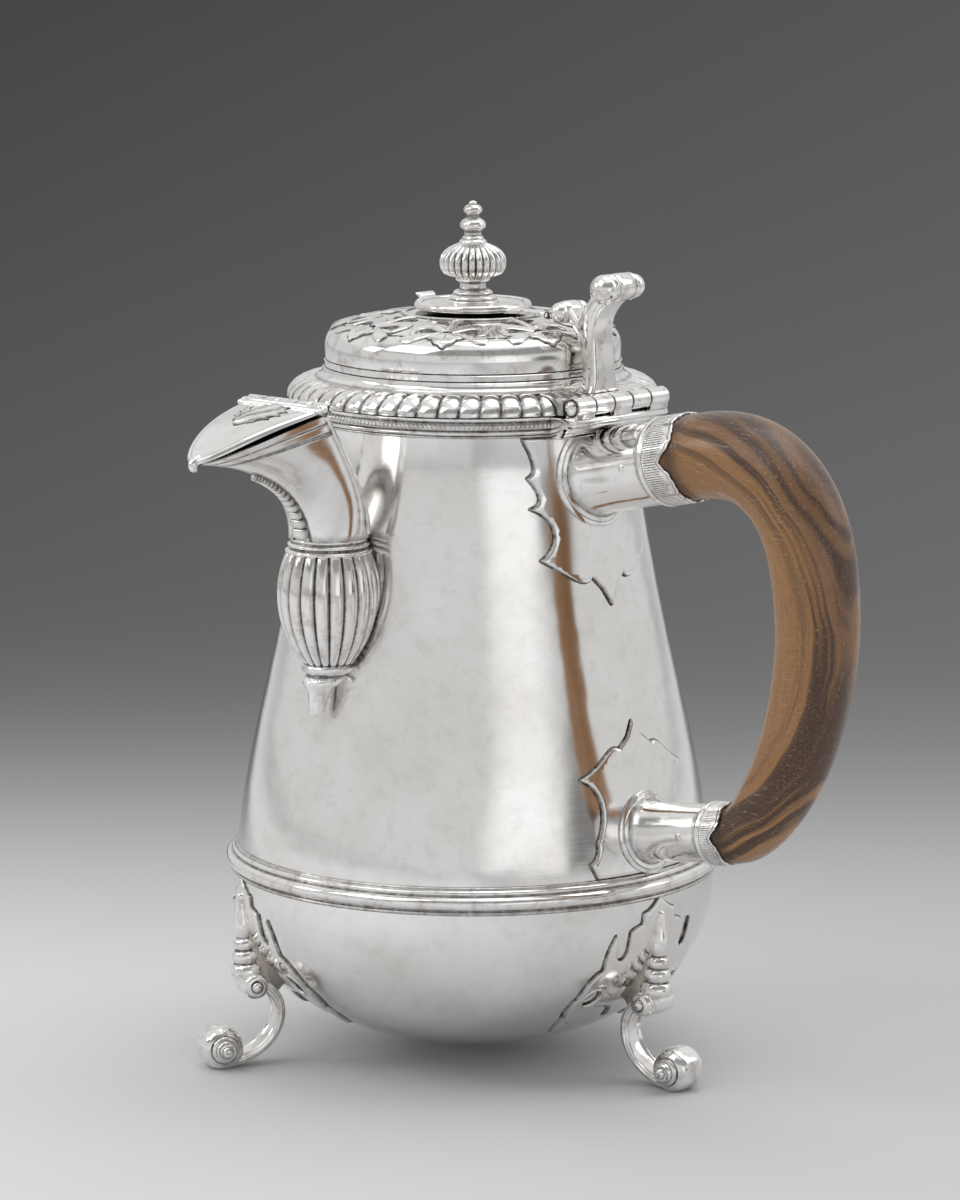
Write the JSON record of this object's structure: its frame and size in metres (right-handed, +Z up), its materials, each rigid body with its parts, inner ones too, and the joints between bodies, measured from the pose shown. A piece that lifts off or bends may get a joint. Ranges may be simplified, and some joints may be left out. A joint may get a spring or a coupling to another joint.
{
  "type": "coffee pot",
  "caption": "Silver pear-shaped pot on scroll feet: hinged domed lid with a hinged finial plate, covered beak spout and a side handle of wood.",
  "frame": {"origin": "on the floor plane, under the axis of the pot's body", "axes": "+Z up along the pot's axis, +X towards the handle, -Y towards the spout"},
  "size_m": [0.2198, 0.1916, 0.2574],
  "materials": {
    "silver_sheet": "raised and turned sheet silver, old soft polish with fine scratches and faint hammer unevenness, grey patina in the corners",
    "silver_cast": "cast and chased silver, worn bright on the high places and darker in the recesses",
    "handle_wood": "old figured hardwood, brown with darker streaks, satin from handling"
  },
  "bodies": {
    "pot": {"body_wall": "silver_sheet", "bowl": "silver_sheet", "belt_moulding": "silver_sheet", "rim_moulding": "silver_sheet", "hinge_bracket": "silver_cast", "body_hinge_knuckles": "silver_cast", "lid_hinge_pin": "silver_cast", "spout_bulb": "silver_cast", "spout_pendant": "silver_cast", "spout_collar": "silver_cast", "spout_neck": "silver_sheet", "spout_tile_strip": "silver_cast", "spout_edge_wires": "silver_cast", "spout_hinge_knuckles": "silver_cast", "flap_hinge_pin": "silver_cast", "upper_cut_card": "silver_sheet", "lower_cut_card": "silver_sheet", "upper_socket_disc": "silver_cast", "lower_socket_disc": "silver_cast", "upper_socket": "silver_cast", "lower_socket": "silver_cast", "upper_ferrule": "silver_cast", "lower_ferrule": "silver_cast", "handle_grip": "handle_wood", "upper_handle_pin": "silver_cast", "lower_handle_pin": "silver_cast", "foot_1": "silver_cast", "foot_2": "silver_cast", "foot_3": "silver_cast", "foot_card_1": "silver_sheet", "foot_card_2": "silver_sheet", "foot_card_3": "silver_sheet"},
    "lid": {"lid_dome": "silver_sheet", "lid_border": "silver_sheet", "lid_bezel": "silver_sheet", "lid_cut_card": "silver_sheet", "lid_hinge_leaf": "silver_cast", "thumbpiece": "silver_cast", "plate_hinge_pin": "silver_cast"},
    "finial_cover": {"finial_plate": "silver_sheet", "finial": "silver_cast", "finial_washer": "silver_sheet"},
    "spout_cover": {"spout_flap": "silver_sheet", "flap_leaf": "silver_cast"}
  },
  "joints": [
    {"name": "lid_hinge", "type": "hinge", "parent": "pot", "child": "lid", "pos_m": [0.0575, 0, 0.2023], "axis": [0, 1, 0], "range_deg": [0, 78]},
    {"name": "finial_plate_hinge", "type": "hinge", "parent": "lid", "child": "finial_cover", "pos_m": [0.033, 0, 0.22608], "axis": [0, 1, 0], "range_deg": [0, 92]},
    {"name": "spout_flap_hinge", "type": "hinge", "parent": "pot", "child": "spout_cover", "pos_m": [0, -0.077, 0.2041], "axis": [-1, 0, 0], "range_deg": [0, 95]}
  ]
}
